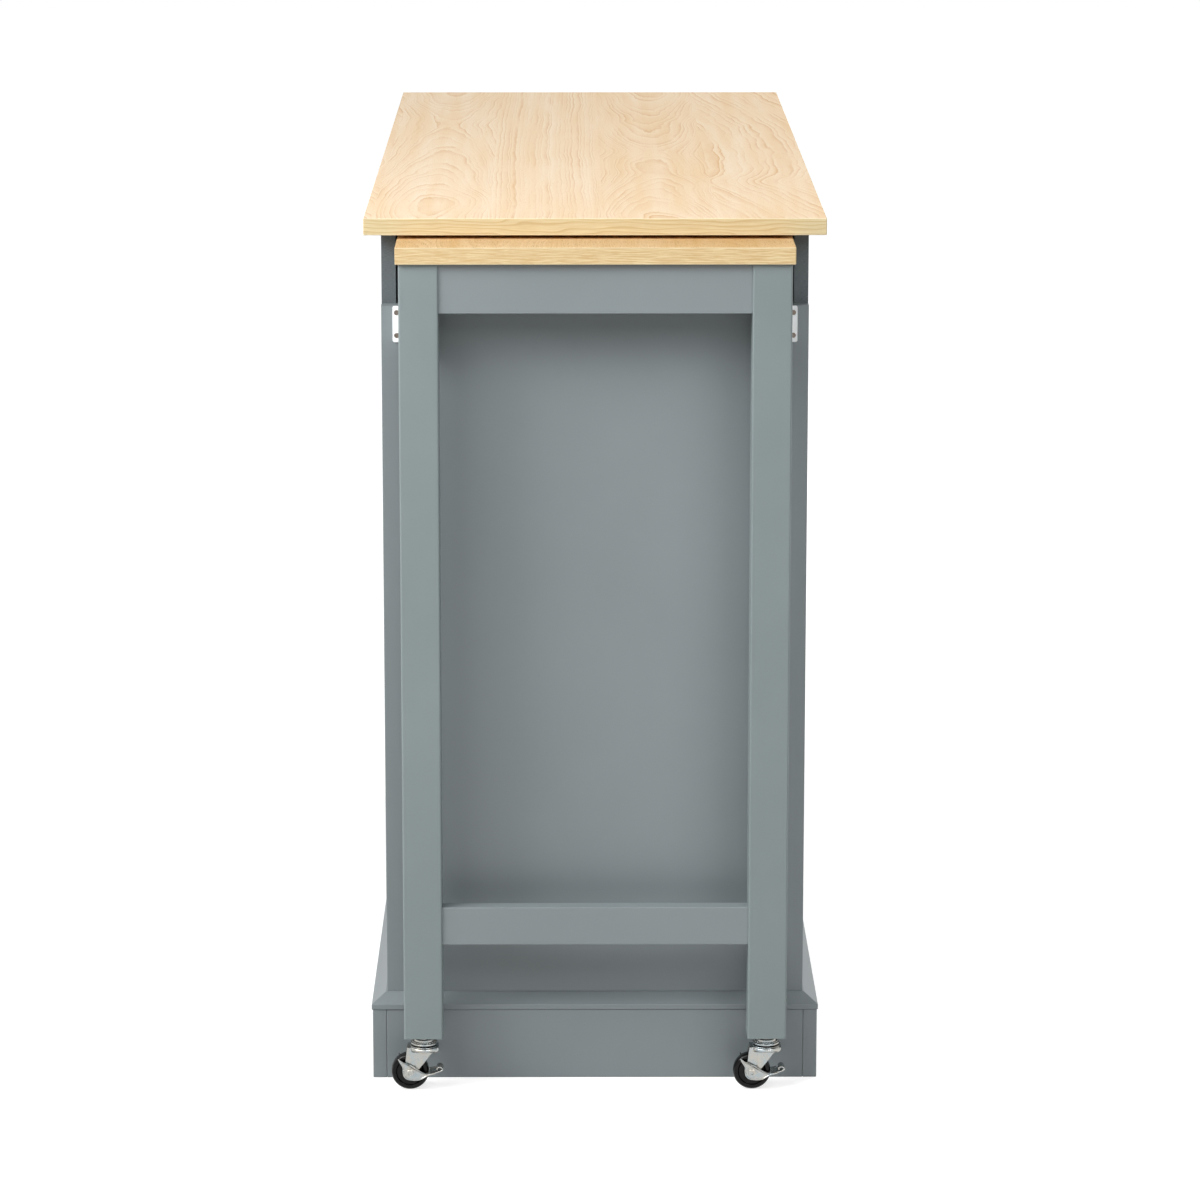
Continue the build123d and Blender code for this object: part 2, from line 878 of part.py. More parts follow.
def moving_slide(wall_x, toward):
    """An angle on the drawer side that rides on the mouth roller, with a roller at its tail."""
    def span(start, end):
        return sorted((wall_x + toward * start, wall_x + toward * end))

    length = (door_back_y + runner_setback / 2, drawer_box_back)
    foot = drawer_box_z
    flange_z = foot + runner_sheet + 2 * sliding_gap + 2 * roller_radius
    web_x = span(runner_space - runner_sheet, runner_space)
    web = block(web_x, length, (foot, flange_z + runner_sheet))
    flange = block(
        span(runner_space - runner_sheet - slide_flange, runner_space),
        length,
        (flange_z, flange_z + runner_sheet),
    )
    roller_z = foot + runner_sheet + sliding_gap + roller_radius - sliding_gap / 2
    wheel_end = runner_space - runner_sheet - roller_side_gap
    wheel_x = span(wheel_end - roller_width, wheel_end)
    stud = rod(
        (min(span(wheel_end, runner_space)), length[1] - roller_end_distance, roller_z),
        roller_radius / 3,
        runner_sheet + roller_side_gap,
        (1, 0, 0),
    )
    return [web + flange + stud, roller(*wheel_x, length[1] - roller_end_distance, roller_z)]


# Build every node

os.makedirs("parts", exist_ok=True)

shelves = pin_places()
open_places = [shelves["lower_open_shelf"], shelves["upper_open_shelf"]]
boards = body_boards()
boards["bay_divider"] = bored(
    faced(block((cabinet_x, bay_x), (-body_y, inner_y), (floor_top, deck_underside))),
    shelves.values(),
)
boards["table_end_panel"] = screw_holes(bored(boards["table_end_panel"], open_places))
boards["far_end_panel"] = bored(boards["far_end_panel"], [shelves["cabinet_shelf"]])

save("worktop", worktop())
for name, solid in boards.items():
    save(name, solid)
for name, place in shelves.items():
    save(name, shelf(place))
save("shelf_pins", *[pin for place in shelves.values() for pin in pins(place, pin_radius)])
plinth_and_moulding()

save("extension_top", extension_top())
save("table_apron", cross_rail(rail_bottom, rail_height))
save("table_stretcher", cross_rail(stretcher_bottom, stretcher_height))
save("table_side_rails", *side_rails())
save("table_rear_rail", rear_rail())
save("glide_strips", *glide_strips())
save("pull_out_stops", *pull_out_stops())
save("leg_catches", *[catch_housing(side) for side in (-1, 1)])
save("catch_magnets", *[magnet(side) for side in (-1, 1)])
save("catch_screws", *[catch_screw(side, z) for side in (-1, 1) for z in catch_screw_heights()])
save("strike_plates", *[strike_plate(side) for side in (-1, 1)])
save("caster_mounts", *[at_leg(side, caster_mount()) for side in (-1, 1)])
for name, side in (("front", -1), ("back", 1)):
    save(f"{name}_leg", leg(side))
    save(f"{name}_caster_fork", at_leg(side, fork()), at_leg(side, axle()))
    save(f"{name}_caster_wheel", at_leg(side, wheel()))
    save(f"{name}_caster_brake", at_leg(side, brake_lever()))

door_places = {
    "left": (-inner_x + door_gap, -inner_x, 1, door_width - door_frame_width / 2),
    "right": (cabinet_x - door_gap - door_width, cabinet_x, -1, door_frame_width / 2),
}
for name, (x_low, wall_x, toward, knob_offset) in door_places.items():
    members, panel = door(x_low)
    save(f"{name}_door_frame", *members)
    save(f"{name}_door_panel", panel)
    save(f"{name}_door_knob", knob(x_low + knob_offset, face_y, door_top_z - knob_top_drop))
    save(f"{name}_door_hinge_leaves", *hinge_knuckles(wall_x, toward, on_door=True))
walls = [(wall_x, toward) for _, wall_x, toward, _ in door_places.values()]
save(
    "cabinet_hinge_leaves",
    *[leaf for wall in walls for leaf in hinge_knuckles(*wall, on_door=False)],
)
save("hinge_pins", *[pin for wall in walls for pin in hinge_pins(*wall)])
save("door_catch", door_catch())

for name, bay in drawer_bays.items():
    save(f"{name}_drawer_front", drawer_front(bay))
    save(f"{name}_drawer_box", *drawer_box(bay))
    knob_seat = face_y + drawer_pocket
    save(f"{name}_drawer_knob", knob((bay[0] + bay[1]) / 2, knob_seat, drawer_middle_z))
    save(f"{name}_drawer_slides", *moving_slide(bay[0], 1), *moving_slide(bay[1], -1))
save(
    "drawer_runners",
    *[
        piece
        for bay in drawer_bays.values()
        for wall in ((bay[0], 1), (bay[1], -1))
        for piece in fixed_runner(*wall)
    ],
)
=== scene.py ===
import json
import math

import bmesh
import bpy
import numpy as np
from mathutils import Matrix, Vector


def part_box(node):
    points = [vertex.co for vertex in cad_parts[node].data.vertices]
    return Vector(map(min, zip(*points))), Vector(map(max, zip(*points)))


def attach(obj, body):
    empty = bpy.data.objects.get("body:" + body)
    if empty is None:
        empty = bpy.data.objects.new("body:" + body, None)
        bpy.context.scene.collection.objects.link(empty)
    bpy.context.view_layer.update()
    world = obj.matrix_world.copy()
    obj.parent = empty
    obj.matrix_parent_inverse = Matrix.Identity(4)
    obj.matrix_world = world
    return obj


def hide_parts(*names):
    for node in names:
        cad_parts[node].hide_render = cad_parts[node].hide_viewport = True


# X points to the table end, doors and drawers face -Y, Z is up and the floor is at Z 0
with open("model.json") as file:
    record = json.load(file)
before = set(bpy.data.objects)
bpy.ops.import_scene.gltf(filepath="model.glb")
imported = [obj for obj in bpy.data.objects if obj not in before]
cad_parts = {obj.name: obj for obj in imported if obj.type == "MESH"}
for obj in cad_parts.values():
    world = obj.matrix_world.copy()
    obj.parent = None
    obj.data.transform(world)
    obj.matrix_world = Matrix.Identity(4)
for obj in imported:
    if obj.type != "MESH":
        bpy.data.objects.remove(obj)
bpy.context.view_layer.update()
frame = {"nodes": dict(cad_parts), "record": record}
nodes = frame["nodes"]
slots = {row["node"]: row["material_slot"] for row in frame["record"]["subparts"]}

MM = 0.001


# Colours and shader nodes

def rgb(code):
    """The linear colour of an sRGB hex value: each channel is raised by the sRGB curve."""
    share = np.array([int(code[i:i + 2], 16) for i in (1, 3, 5)]) / 255
    linear = np.where(share <= 0.04045, share / 12.92, ((share + 0.055) / 1.055) ** 2.4)
    return (*linear, 1.0)


def grey(level):
    """The colour of a ramp's stop where the ramp stands for a plain number."""
    return (level, level, level, 1)


def add(tree, kind, inputs=None, out=0, stops=(), blend="LINEAR", **settings):
    """Adds one node: its settings, its inputs as links or values, and a ramp's (place, colour) stops.

    It gives back the output that out names, so that steps can be written one inside the other.
    Inputs go by name or by place. A map range counts its value, the low and high that it comes from,
    and the low and high that it goes to. A mix counts its share as 0, two numbers as 2 and 3, and two
    colours as 6 and 7.
    """
    node = tree.nodes.new("ShaderNode" + kind)
    for key, value in settings.items():
        setattr(node, key, value)
    for key, value in (inputs or {}).items():
        if isinstance(value, bpy.types.NodeSocket):
            tree.links.new(value, node.inputs[key])
        else:
            node.inputs[key].default_value = value
    if stops:
        ramp = node.color_ramp
        ramp.interpolation = blend
        while len(ramp.elements) < len(stops):
            ramp.elements.new(1.0)
        for element, (place, colour) in zip(ramp.elements, stops):
            element.position = place
            element.color = colour
    return node.outputs[out] if len(node.outputs) else node


def blank_material(name):
    """A material with nothing but its surface shader. It gives the material, its tree and the shader."""
    material = bpy.data.materials.new(name)
    material.use_nodes = True
    tree = material.node_tree
    tree.nodes.clear()
    shader = add(tree, "BsdfPrincipled").node
    add(tree, "OutputMaterial", {"Surface": shader.outputs[0]})
    return material, tree, shader


def grain_point(tree, per_mm, shift=(0, 0, 0)):
    """Where a pattern is read: Object coordinates, with so many pattern widths to a millimetre.

    The shift moves the pattern by so many of its widths.
    """
    coords = add(tree, "TexCoord", out="Object")
    scale = tuple(step / MM for step in per_mm)
    return add(tree, "Mapping", {"Vector": coords, "Scale": scale, "Location": shift})


# Oak laminate, in millimetres

# a print's ground where it is palest and where it is darkest, its latewood, earlywood, fibres and pores
WORKTOP_SHADES = ("#F7E3C9", "#F0D4AF", "#D7A871", "#FAF0DE", "#E9CCA4", "#CFA36E")
# the table's print is darker than the worktop's: partly its own print and partly painted shade, for the
# shade under the worktop where the table's top shows
TABLE_PRINT_WITH_PAINTED_SHADE = ("#E4C598", "#D8B27C", "#BC9058", "#F0D8AE", "#D0A66C", "#9C7240")
# an edge band's ground, its streaks, its hairs and the paler highlight painted on its rims
WORKTOP_BAND = ("#DFCFA7", "#BC9B66", "#CBB080", "#EFE7CC")
TABLE_BAND = ("#E6D0A4", "#C8A46E", "#CCA874", "#EFE4C6")

BAND_WIDTH = 18
STAVE_WIDTH = 120
# The kinds of stave, by turns across the board. First come how strongly the stave's rings bow, how
# steeply they rise across it and its tone, and then how much it takes of each of the three drifts.
STAVES = [
    ((1.0, 0.0, 0.62), (1, 0, 0)), ((0.0, 0.8, 0.55), (0.06, 0.06, 0)),
    ((1.0, 0.0, 0.42), (0, 1, 0)), ((0.0, 0.36, 0.5), (0, 0, 1)),
]
# How many rings the figure has drifted at places along the board, for its three figured staves: two
# flat sawn ones, whose rings close or cross where it turns back, and one that leans.
RING_DRIFT = [
    (-600, 6.0, 0.0, 12.0), (-500, 7.5, 1.5, 10.4), (-420, 9.0, 2.7, 9.1), (-340, 10.5, 3.9, 7.9),
    (-260, 11.4, 5.0, 6.8), (-180, 11.0, 5.7, 5.9), (-120, 10.0, 6.3, 5.6), (-60, 9.3, 7.6, 5.4),
    (0, 8.6, 9.2, 5.3), (40, 8.1, 10.0, 5.2), (90, 7.4, 8.7, 5.1), (150, 6.5, 7.6, 5.0),
    (200, 5.6, 8.0, 5.0), (240, 5.0, 8.1, 5.4), (270, 4.6, 7.0, 6.3), (305, 4.2, 6.1, 7.4),
    (340, 3.5, 5.4, 6.2), (380, 2.4, 4.9, 5.2), (420, 1.3, 4.2, 4.2), (460, 0.5, 3.2, 3.5),
    (500, 0.1, 2.3, 2.6), (550, 0.5, 1.3, 1.7), (600, 1.4, 0.5, 0.8),
]
DRIFT_END = 600
MOST_RINGS = 12
# how many rings go to a millimetre across an even stave whose slope is 1, and to a square millimetre
# from a flat sawn stave's middle, and how far that middle wanders
RINGS_PER_MM = 0.25
RINGS_PER_MM2 = 0.0019
MIDDLE_WANDER = 26
# how many widths of each swell go to a millimetre along and across the board, and its height in rings
SWELLS = [((0.012, 0.03, 0), 1.4), ((0.03, 0.2, 0), 0.3), ((0.05, 0.6, 0), 0.12)]
# by how many rings good and bad years push the figure
YEAR_SPREAD = 2.2
# widths to a millimetre along, across and up the board: what fades the figure, and the tone's streaks
FADE_GRAIN = (0.007, 0.025, 0)
STREAK_GRAIN = (0.0025, 0.05, 0)
# fibres are drawn about 1 mm apart, three times as coarse as the real ones, so that they show
FIBRE_GRAIN = (0.012, 0.9, 0.9)
PORE_GRAIN = (0.07, 1.0, 1.0)
EARLYWOOD_SHARE = 0.3
FIBRE_SHARE = 0.3


def ring_number(tree, x, y, shift):
    """The number of the ring at each place on a board, and the tone of the stave that it lies in.

    Across a flat sawn stave the number grows with the square of the distance from the stave's middle,
    which wanders, and across the others it grows evenly. Along a stave it drifts. Slow noise swells
    it, and noise that is read at the number itself crowds the rings of some years and spreads others.
    """
    stave = add(tree, "Math", {0: y, 1: STAVE_WIDTH}, operation="DIVIDE")
    index = add(tree, "Math", {0: stave}, operation="FLOOR")
    share = add(tree, "Math", {0: stave}, operation="FRACT")
    across = add(tree, "Math", {0: share, 1: STAVE_WIDTH, 2: -STAVE_WIDTH / 2}, operation="MULTIPLY_ADD")

    step = 1 / len(STAVES)
    turn = add(tree, "Math", {0: index, 1: len(STAVES)}, operation="FLOORED_MODULO")
    turn = add(tree, "Math", {0: turn, 1: step, 2: step / 2}, operation="MULTIPLY_ADD")
    habits = add(tree, "ValToRGB", {"Fac": turn}, blend="CONSTANT", stops=[
        (step * place, (*habit, 1)) for place, (habit, _) in enumerate(STAVES)
    ])
    bow, slope, tone = add(tree, "SeparateColor", {0: habits}).node.outputs
    pick = add(tree, "ValToRGB", {"Fac": turn}, blend="CONSTANT", stops=[
        (step * place, (*shares, 1)) for place, (_, shares) in enumerate(STAVES)
    ])
    along = add(tree, "MapRange", {0: x, 1: -DRIFT_END, 2: DRIFT_END, 3: 0, 4: 1})
    drifts = add(tree, "ValToRGB", {"Fac": along}, blend="B_SPLINE", stops=[
        ((at + DRIFT_END) / (2 * DRIFT_END), (*(rings / MOST_RINGS for rings in row), 1))
        for at, *row in RING_DRIFT
    ])
    drift = add(tree, "VectorMath", {0: drifts, 1: pick}, out="Value", operation="DOT_PRODUCT")

    # each stave reads its own strip of the noise, far from its neighbour's
    strip = add(tree, "Math", {0: index, 1: 7.3}, operation="MULTIPLY")
    slow = add(tree, "Math", {0: x, 1: 0.005}, operation="MULTIPLY")
    wander = add(tree, "TexNoise", {
        "Vector": add(tree, "CombineXYZ", {0: slow, 1: strip}), "Scale": 1, "Detail": 1,
    })
    wander = add(tree, "Math", {
        0: wander, 1: MIDDLE_WANDER, 2: -MIDDLE_WANDER / 2,
    }, operation="MULTIPLY_ADD")
    centred = add(tree, "Math", {0: across, 1: wander}, operation="ADD")
    squared = add(tree, "Math", {0: centred, 1: centred}, operation="MULTIPLY")
    squared = add(tree, "Math", {0: squared, 1: RINGS_PER_MM2}, operation="MULTIPLY")
    even = add(tree, "Math", {0: across, 1: RINGS_PER_MM}, operation="MULTIPLY")
    even = add(tree, "Math", {0: even, 1: slope}, operation="MULTIPLY")
    rings = add(tree, "Math", {0: squared, 1: bow, 2: even}, operation="MULTIPLY_ADD")
    rings = add(tree, "Math", {0: drift, 1: MOST_RINGS, 2: rings}, operation="MULTIPLY_ADD")
    for per_mm, height in SWELLS:
        swell = add(tree, "TexNoise", {
            "Vector": grain_point(tree, per_mm, shift), "Scale": 1, "Detail": 1,
        })
        rings = add(tree, "Math", {0: swell, 1: height, 2: rings}, operation="MULTIPLY_ADD")
    years = add(tree, "TexNoise", {"W": rings, "Scale": 0.6, "Detail": 1}, noise_dimensions="1D")
    rings = add(tree, "Math", {0: years, 1: YEAR_SPREAD, 2: rings}, operation="MULTIPLY_ADD")
    return rings, tone


def printed_face(tree, x, y, shift, shades, figure, pores):
    """The colour of a board's face, and its fibres, which the embossing follows.

    From one whole ring number to the next the print goes from pale earlywood to one dark line of
    latewood. Each line has a darkness of its own, and the figure fades in and out over the board. The
    ground's tone is the stave's own plus a slow streak, and fibres and pores are drawn over it all.
    """
    palest, darkest, late_shade, early_shade, fibre_shade, pore_shade = map(rgb, shades)
    rings, tone = ring_number(tree, x, y, shift)
    ring = add(tree, "Math", {0: rings}, operation="FRACT")
    year = add(tree, "Math", {0: rings}, operation="FLOOR")
    darkness = add(tree, "TexWhiteNoise", {"W": year}, noise_dimensions="1D")
    darkness = add(tree, "MapRange", {0: darkness, 3: 0.35, 4: 1.0})
    latewood = add(tree, "ValToRGB", {"Fac": ring}, stops=[
        (0.0, grey(0)), (0.5, grey(0.1)), (0.76, grey(0.35)), (0.88, grey(1)), (0.95, grey(0.2)),
        (1.0, grey(0)),
    ])
    latewood = add(tree, "Math", {0: latewood, 1: darkness}, operation="MULTIPLY")
    earlywood = add(tree, "ValToRGB", {"Fac": ring}, stops=[
        (0.0, grey(0.8)), (0.1, grey(1)), (0.35, grey(0.1)), (0.9, grey(0)), (1.0, grey(0.8)),
    ])
    fade = add(tree, "TexNoise", {
        "Vector": grain_point(tree, FADE_GRAIN, shift), "Scale": 1, "Detail": 2,
    })
    fade = add(tree, "MapRange", {0: fade, 1: 0.38, 2: 0.6, 3: 0.2, 4: 1.0})
    latewood = add(tree, "Math", {0: latewood, 1: fade}, operation="MULTIPLY")
    earlywood = add(tree, "Math", {0: earlywood, 1: fade}, operation="MULTIPLY")

    fibre = add(tree, "TexNoise", {
        "Vector": grain_point(tree, FIBRE_GRAIN, shift), "Scale": 1, "Detail": 3, "Roughness": 0.6,
    })
    pore = add(tree, "TexNoise", {
        "Vector": grain_point(tree, PORE_GRAIN, shift), "Scale": 1, "Detail": 2,
    })
    pore = add(tree, "ValToRGB", {"Fac": pore}, stops=[(0.56, grey(0)), (0.7, grey(1))])
    streak = add(tree, "TexNoise", {
        "Vector": grain_point(tree, STREAK_GRAIN, shift), "Scale": 1, "Detail": 2,
    })
    # the streak swings about 0.5, so 1.6 times it less 0.8 swings about 0
    tone = add(tree, "Math", {0: streak, 1: 1.6, 2: tone}, operation="MULTIPLY_ADD")
    tone = add(tree, "Math", {0: tone, 1: 0.8}, operation="SUBTRACT")
    face = add(tree, "ValToRGB", {"Fac": tone}, stops=[(0.2, darkest), (0.8, palest)])
    for layer, strength, shade in (
        (latewood, figure, late_shade), (earlywood, EARLYWOOD_SHARE, early_shade),
        (fibre, FIBRE_SHARE, fibre_shade), (pore, pores, pore_shade),
    ):
        amount = add(tree, "Math", {0: layer, 1: strength}, operation="MULTIPLY")
        face = add(tree, "Mix", {0: amount, 6: face, 7: shade}, out=2, data_type="RGBA")
    return face, fibre


def edge_band(tree, run, z, shades, lines, hairs):
    """The colour of the band round a board's edge, by the run along it and the height from its foot.

    A slow noise along the edge plus a share of the height makes a slope, and each step of one on that
    slope draws one flowing line. Finer noise adds hairs between the lines. The rounded rims get a
    painted highlight: a paler strip near the band's top and its foot.
    Lines says how closely the lines lie, and hairs how strong the hairs are.
    """
    ground, streak_shade, hair_shade, painted_rim_highlight = map(rgb, shades)
    flow_key = add(tree, "CombineXYZ", {
        0: add(tree, "Math", {0: run, 1: 0.009 * lines}, operation="MULTIPLY"),
        1: add(tree, "Math", {0: z, 1: 0.05}, operation="MULTIPLY"),
    })
    flow = add(tree, "TexNoise", {"Vector": flow_key, "Scale": 1, "Detail": 2})
    # where lines is 1 there is one to 5 mm of height, and the noise bends it by a few of these steps
    rise = add(tree, "Math", {0: z, 1: 0.2 * lines}, operation="MULTIPLY")
    flow = add(tree, "Math", {0: flow, 1: 5, 2: rise}, operation="MULTIPLY_ADD")
    flow = add(tree, "Math", {0: flow}, operation="FRACT")
    line = add(tree, "ValToRGB", {"Fac": flow}, stops=[
        (0.0, grey(0)), (0.5, grey(0.15)), (0.8, grey(1)), (0.92, grey(0)),
    ])
    hair_key = add(tree, "CombineXYZ", {
        0: add(tree, "Math", {0: run, 1: 0.035}, operation="MULTIPLY"),
        1: add(tree, "Math", {0: z, 1: 0.75}, operation="MULTIPLY"),
    })
    hair = add(tree, "TexNoise", {"Vector": hair_key, "Scale": 1, "Detail": 3, "Roughness": 0.7})
    hair = add(tree, "MapRange", {0: hair, 1: 0.42, 2: 0.6, 3: 0.0, 4: hairs})
    # where the hairs are strong the lines are weak
    line = add(tree, "Math", {0: line, 1: 0.75 - 0.5 * hairs}, operation="MULTIPLY")
    # painted highlight: within 1.3 mm of the band's top and foot the colour turns paler, where a rounded
    # rim would catch the light
    rim = add(tree, "Math", {0: z, 1: BAND_WIDTH / 2}, operation="SUBTRACT")
    rim = add(tree, "Math", {0: rim}, operation="ABSOLUTE")
    rim = add(tree, "MapRange", {
        0: rim, 1: BAND_WIDTH / 2 - 1.3, 2: BAND_WIDTH / 2 - 0.6, 3: 0.0, 4: 0.8,
    })
    band = add(tree, "Mix", {0: line, 6: ground, 7: streak_shade}, out=2, data_type="RGBA")
    band = add(tree, "Mix", {0: hair, 6: band, 7: hair_shade}, out=2, data_type="RGBA")
    return add(tree, "Mix", {0: rim, 6: band, 7: painted_rim_highlight}, out=2, data_type="RGBA")


def oak_laminate(name, shades, band_shades, shift, figure, pores, band_lines, band_hair):
    """Melamine laminate printed with staves of pale oak, hot-pressed on particle board.

    The print gives cathedral figure, straight quarter sawn lines and leaning ones, and the face is
    satin with a faint embossed grain. The edge band is yellower, with long flowing lines, and its
    rounded rims get a painted highlight. Figure and pores say how strong the latewood and the pores
    are. The shift moves the figure over the board and puts the board's underside at Z 0.
    """
    material, tree, shader = blank_material(name)
    point = grain_point(tree, (1, 1, 1), shift)
    x, y, z = add(tree, "SeparateXYZ", {0: point}).node.outputs
    facing = add(tree, "SeparateXYZ", {0: add(tree, "TexCoord", out="Normal")}).node.outputs

    face, fibre = printed_face(tree, x, y, shift, shades, figure, pores)

    # the band's lines run along X on the long edges and along Y on the short ones
    end_on = add(tree, "Math", {0: facing[0]}, operation="ABSOLUTE")
    end_on = add(tree, "Math", {0: end_on, 1: 0.5}, operation="GREATER_THAN")
    run = add(tree, "Mix", {0: end_on, 2: x, 3: y})
    band = edge_band(tree, run, z, band_shades, band_lines, band_hair)

    level = add(tree, "Math", {0: facing[2]}, operation="ABSOLUTE")
    level = add(tree, "Math", {0: level, 1: 0.6}, operation="GREATER_THAN")
    colour = add(tree, "Mix", {0: level, 6: band, 7: face}, out=2, data_type="RGBA")
    tree.links.new(colour, shader.inputs["Base Color"])
    shader.inputs["Roughness"].default_value = 0.6
    shader.inputs["Specular IOR Level"].default_value = 0.07
    relief = add(tree, "Bump", {"Height": fibre, "Strength": 0.2, "Distance": 0.06 * MM})
    tree.links.new(relief, shader.inputs["Normal"])
    return material


# Paint, metal and plastic

def sprayed_paint(name, light, dark, shaded_cut_end=None):
    """Satin polyurethane paint, sprayed on board or wood and sanded between coats.

    It gives an even grey with a very faint cloudiness and a fine orange-peel skin. A cut end, which
    faces along X, drinks the paint: it stays rougher, with the fine flecks of the board. Its darker
    colour is partly that and partly painted shade for the recessed slot under the worktop.
    """
    material, tree, shader = blank_material(name)
    cloud = add(tree, "TexNoise", {
        "Vector": grain_point(tree, (0.008, 0.008, 0.008)), "Scale": 1, "Detail": 3,
    })
    peel = add(tree, "TexNoise", {"Vector": grain_point(tree, (0.7, 0.7, 0.7)), "Scale": 1, "Detail": 1})
    colour = add(tree, "ValToRGB", {"Fac": cloud}, stops=[(0.3, rgb(dark)), (0.7, rgb(light))])
    gloss = add(tree, "Math", {0: cloud, 1: 0.08, 2: 0.36}, operation="MULTIPLY_ADD")
    # the darker colour of the cut ends is partly painted shade for the recessed slot under the worktop
    if shaded_cut_end:
        end_light, end_dark = map(rgb, shaded_cut_end)
        facing = add(tree, "SeparateXYZ", {0: add(tree, "TexCoord", out="Normal")})
        end_on = add(tree, "Math", {0: facing}, operation="ABSOLUTE")
        end_on = add(tree, "Math", {0: end_on, 1: 0.9}, operation="GREATER_THAN")
        fleck = add(tree, "TexNoise", {
            "Vector": grain_point(tree, (0.5, 0.35, 1.2)), "Scale": 1, "Detail": 2,
        })
        fleck = add(tree, "ValToRGB", {"Fac": fleck}, stops=[(0.35, end_dark), (0.65, end_light)])
        colour = add(tree, "Mix", {0: end_on, 6: colour, 7: fleck}, out=2, data_type="RGBA")
        gloss = add(tree, "Math", {0: end_on, 1: 0.25, 2: gloss}, operation="MULTIPLY_ADD")
    tree.links.new(colour, shader.inputs["Base Color"])
    tree.links.new(gloss, shader.inputs["Roughness"])
    skin = add(tree, "Bump", {"Height": peel, "Strength": 0.1, "Distance": 0.02 * MM})
    tree.links.new(skin, shader.inputs["Normal"])
    return material


def drifting_finish(name, light, dark, roughness, metallic=0.0, grain=(0.05, 0.05, 0.05), specular=0.5):
    """A finish whose colour and gloss drift a little along a grain given in widths per millimetre."""
    material, tree, shader = blank_material(name)
    drift = add(tree, "TexNoise", {
        "Vector": grain_point(tree, grain), "Scale": 1, "Detail": 4, "Roughness": 0.6,
    })
    colour = add(tree, "ValToRGB", {"Fac": drift}, stops=[(0.3, rgb(dark)), (0.7, rgb(light))])
    tree.links.new(colour, shader.inputs["Base Color"])
    shader.inputs["Metallic"].default_value = metallic
    shader.inputs["Specular IOR Level"].default_value = specular
    gloss = add(tree, "Math", {0: drift, 1: 0.15, 2: roughness}, operation="MULTIPLY_ADD")
    tree.links.new(gloss, shader.inputs["Roughness"])
    skin = add(tree, "Bump", {"Height": drift, "Strength": 0.3, "Distance": 0.02 * MM})
    tree.links.new(skin, shader.inputs["Normal"])
    return material


PAINT = ("#858D90", "#828A8D")

finishes = {
    "grey_paint": sprayed_paint("satin_paint_sprayed_on_mdf", *PAINT),
    # particle board faced with pressed melamine paper: matt and even
    "melamine_board": drifting_finish("matt_melamine_board", "#858F91", "#7F898B", 0.5),
    # cold-rolled steel, pressed and bright zinc plated: mirror-like, drifting from warm to bluish
    "zinc_steel": drifting_finish(
        "bright_zinc_plated_steel", "#B4ADA2", "#9CA7AD", 0.2, 1.0, (0.09, 0.09, 0.09),
    ),
    # moulded polyurethane tread: black, with small sharp highlights
    "black_rubber": drifting_finish(
        "moulded_black_polyurethane", "#070707", "#020202", 0.05, specular=0.2,
    ),
    # injection-moulded ABS: bright white, satin
    "white_plastic": drifting_finish("moulded_white_abs", "#FBFCFD", "#F5F8FA", 0.35),
    # extruded nylon: milky white, satin
    "nylon_strip": drifting_finish("extruded_white_nylon", "#E6E6E0", "#DEDED6", 0.4),
    # pressed and sintered ferrite: near black, dull
    "ferrite_magnet": drifting_finish("sintered_ferrite", "#34343A", "#26262A", 0.6),
    # brushed and nickel plated casting: a soft warm shine, streaked along X
    "brushed_nickel": drifting_finish(
        "brushed_nickel_plate", "#C9C4BC", "#B5AFA6", 0.28, 1.0, (0.3, 3.0, 3.0),
    ),
    # stamped and nickel plated steel: a soft even shine
    "hinge_steel": drifting_finish(
        "nickel_plated_hinge_steel", "#C6C2BA", "#B4AFA7", 0.25, 1.0, (0.2, 0.2, 0.2),
    ),
    # cold-headed and zinc plated steel: darker and duller than the pressed sheet
    "screw_steel": drifting_finish(
        "zinc_plated_screw_steel", "#958A80", "#6E655D", 0.35, 1.0, (0.8, 0.8, 0.8),
    ),
    # rolled steel, powder coated: an even satin white
    "runner_steel": drifting_finish("white_powder_coated_steel", "#E4E4E0", "#DADAD5", 0.45),
}

# Nodes with a material of their own: the two printed boards, the legs, whose solid wood takes the
# paint a little greener than board does, and two boards that show their cut ends, made darker partly
# by painted shade for the recessed slot under the worktop where those ends show.
legs_paint = sprayed_paint("satin_paint_sprayed_on_solid_wood", "#828D8E", "#7D8889")
cut_ends_paint_with_painted_shade = sprayed_paint("satin_paint_with_shaded_cut_ends", *PAINT, shaded_cut_end=("#666D70", "#5A6164"))
special = {
    "worktop": oak_laminate(
        "oak_laminate_worktop", WORKTOP_SHADES, WORKTOP_BAND, (0, 232, -912),
        figure=1.0, pores=0.25, band_lines=1.0, band_hair=0.4,
    ),
    # the table's darker print is partly painted shade for the shade under the worktop
    "extension_top": oak_laminate(
        "oak_laminate_table", TABLE_PRINT_WITH_PAINTED_SHADE, TABLE_BAND, (-60, 168, -890),
        figure=0.45, pores=0.5, band_lines=1.8, band_hair=0.75,
    ),
    "front_leg": legs_paint,
    "back_leg": legs_paint,
    "front_top_rail": cut_ends_paint_with_painted_shade,
    "back_panel": cut_ends_paint_with_painted_shade,
}

for name, node in nodes.items():
    node.data.materials.clear()
    node.data.materials.append(special.get(name) or finishes[slots[name]])


# Surfaces

def grid(points, wrap=False):
    """Points on rows and columns, and the quads between neighbours. With wrap the columns close."""
    rows, columns = points.shape[:2]
    index = np.arange(rows * columns).reshape(rows, columns)
    near, far = (index, np.roll(index, -1, axis=1)) if wrap else (index[:, :-1], index[:, 1:])
    quads = np.stack([near[:-1], far[:-1], far[1:], near[1:]], axis=-1)
    return points.reshape(-1, 3), quads.reshape(-1, 4)


